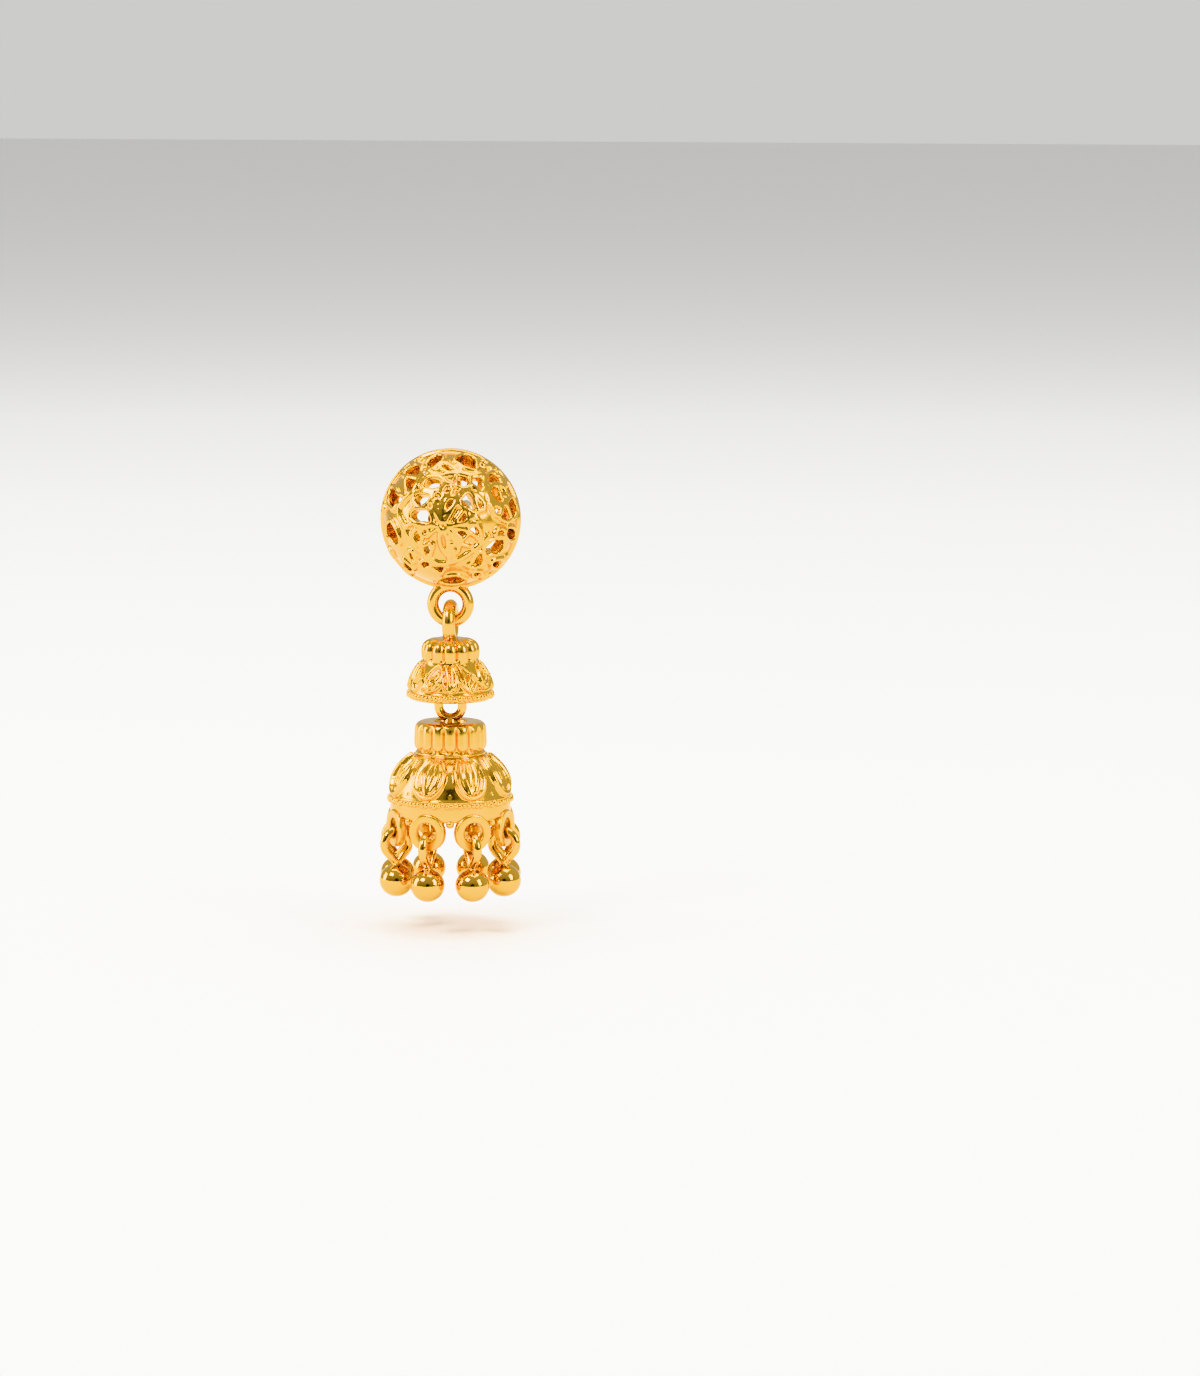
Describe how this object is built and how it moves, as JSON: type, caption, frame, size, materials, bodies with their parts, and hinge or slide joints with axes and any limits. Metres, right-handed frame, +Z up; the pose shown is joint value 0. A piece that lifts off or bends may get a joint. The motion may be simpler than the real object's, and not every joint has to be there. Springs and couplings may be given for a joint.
{
  "type": "jhumka earring",
  "caption": "Gold jhumka earring: pierced half-ball ear stud with a small and a large ribbed bell linked below it, flat rings and ball-ended pear-shaped drops round the lower rim.",
  "frame": {"origin": "where the ear post leaves the flat back of the half ball, at the middle of the ball's open back", "axes": "+Z up, along the hanging earring; front towards -Y; the ear post runs back along +Y"},
  "size_m": [0.0124, 0.0177, 0.0381],
  "materials": {
    "polished_gold": "polished 22 carat gold",
    "mirror_gold": "mirror-polished gold"
  },
  "bodies": {
    "stud": {"ball_stud": "polished_gold", "ear_post": "polished_gold"},
    "upper": {"upper_bell": "polished_gold"},
    "lower": {"lower_bell": "polished_gold", "drop_01": "mirror_gold", "drop_02": "mirror_gold", "drop_03": "mirror_gold", "drop_04": "mirror_gold", "drop_05": "mirror_gold", "drop_06": "mirror_gold", "drop_07": "mirror_gold", "drop_08": "mirror_gold"}
  },
  "joints": [
    {"name": "upper_swing", "type": "hinge", "parent": "stud", "child": "upper", "pos_m": [0, -0.00049, -0.00874], "axis": [1, 0, 0], "range_deg": [-45, 45]},
    {"name": "lower_swing", "type": "hinge", "parent": "upper", "child": "lower", "pos_m": [0, -0.00049, -0.01432], "axis": [1, 0, 0], "range_deg": [-30, 30]}
  ]
}
